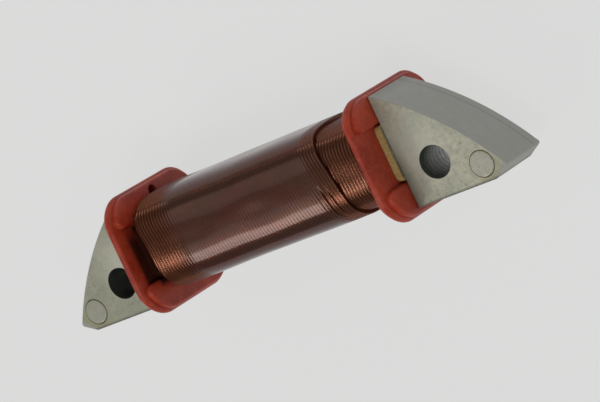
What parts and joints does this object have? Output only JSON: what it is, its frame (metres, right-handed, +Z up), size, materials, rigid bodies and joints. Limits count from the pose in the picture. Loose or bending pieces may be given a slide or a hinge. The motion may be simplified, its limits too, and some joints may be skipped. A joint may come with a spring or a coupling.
{
  "type": "ignition coil",
  "caption": "Flywheel magneto ignition coil: laminated core with curved pole shoes and screw holes, moulded bobbin and copper winding.",
  "frame": {"origin": "midway between the two screw holes, on the back face of the pole shoes, which sits on the stator plate", "axes": "+X along the coil, +Y towards the curved pole faces and the flywheel's magnets, +Z up through the lamination stack"},
  "size_m": [0.088, 0.0204, 0.0246],
  "materials": {
    "core_steel": "zinc plated sheet steel, dull, curved face ground bare",
    "rivet_steel": "dull plated steel",
    "bobbin_plastic": "dark red phenolic moulding, half gloss",
    "pressboard": "yellow varnished pressboard",
    "copper_wire": "enamelled copper wire under clear brown lacquer"
  },
  "bodies": {
    "root": {"lamination_01_left_leg": "core_steel", "lamination_02_left_shoe": "core_steel", "lamination_03_left_leg": "core_steel", "lamination_04_left_shoe": "core_steel", "lamination_05_left_leg": "core_steel", "lamination_06_left_shoe": "core_steel", "lamination_07_left_leg": "core_steel", "lamination_08_left_shoe": "core_steel", "lamination_09_left_leg": "core_steel", "lamination_10_left_shoe": "core_steel", "lamination_11_left_leg": "core_steel", "lamination_01_right_shoe": "core_steel", "lamination_02_right_leg": "core_steel", "lamination_03_right_shoe": "core_steel", "lamination_04_right_leg": "core_steel", "lamination_05_right_shoe": "core_steel", "lamination_06_right_leg": "core_steel", "lamination_07_right_shoe": "core_steel", "lamination_08_right_leg": "core_steel", "lamination_09_right_shoe": "core_steel", "lamination_10_right_leg": "core_steel", "lamination_11_right_shoe": "core_steel", "rivet_left": "rivet_steel", "rivet_right": "rivet_steel", "core_liner": "pressboard", "bobbin": "bobbin_plastic", "winding_layer_1": "copper_wire", "winding_layer_2": "copper_wire", "winding_layer_3": "copper_wire", "winding_layer_4": "copper_wire"}
  },
  "joints": []
}
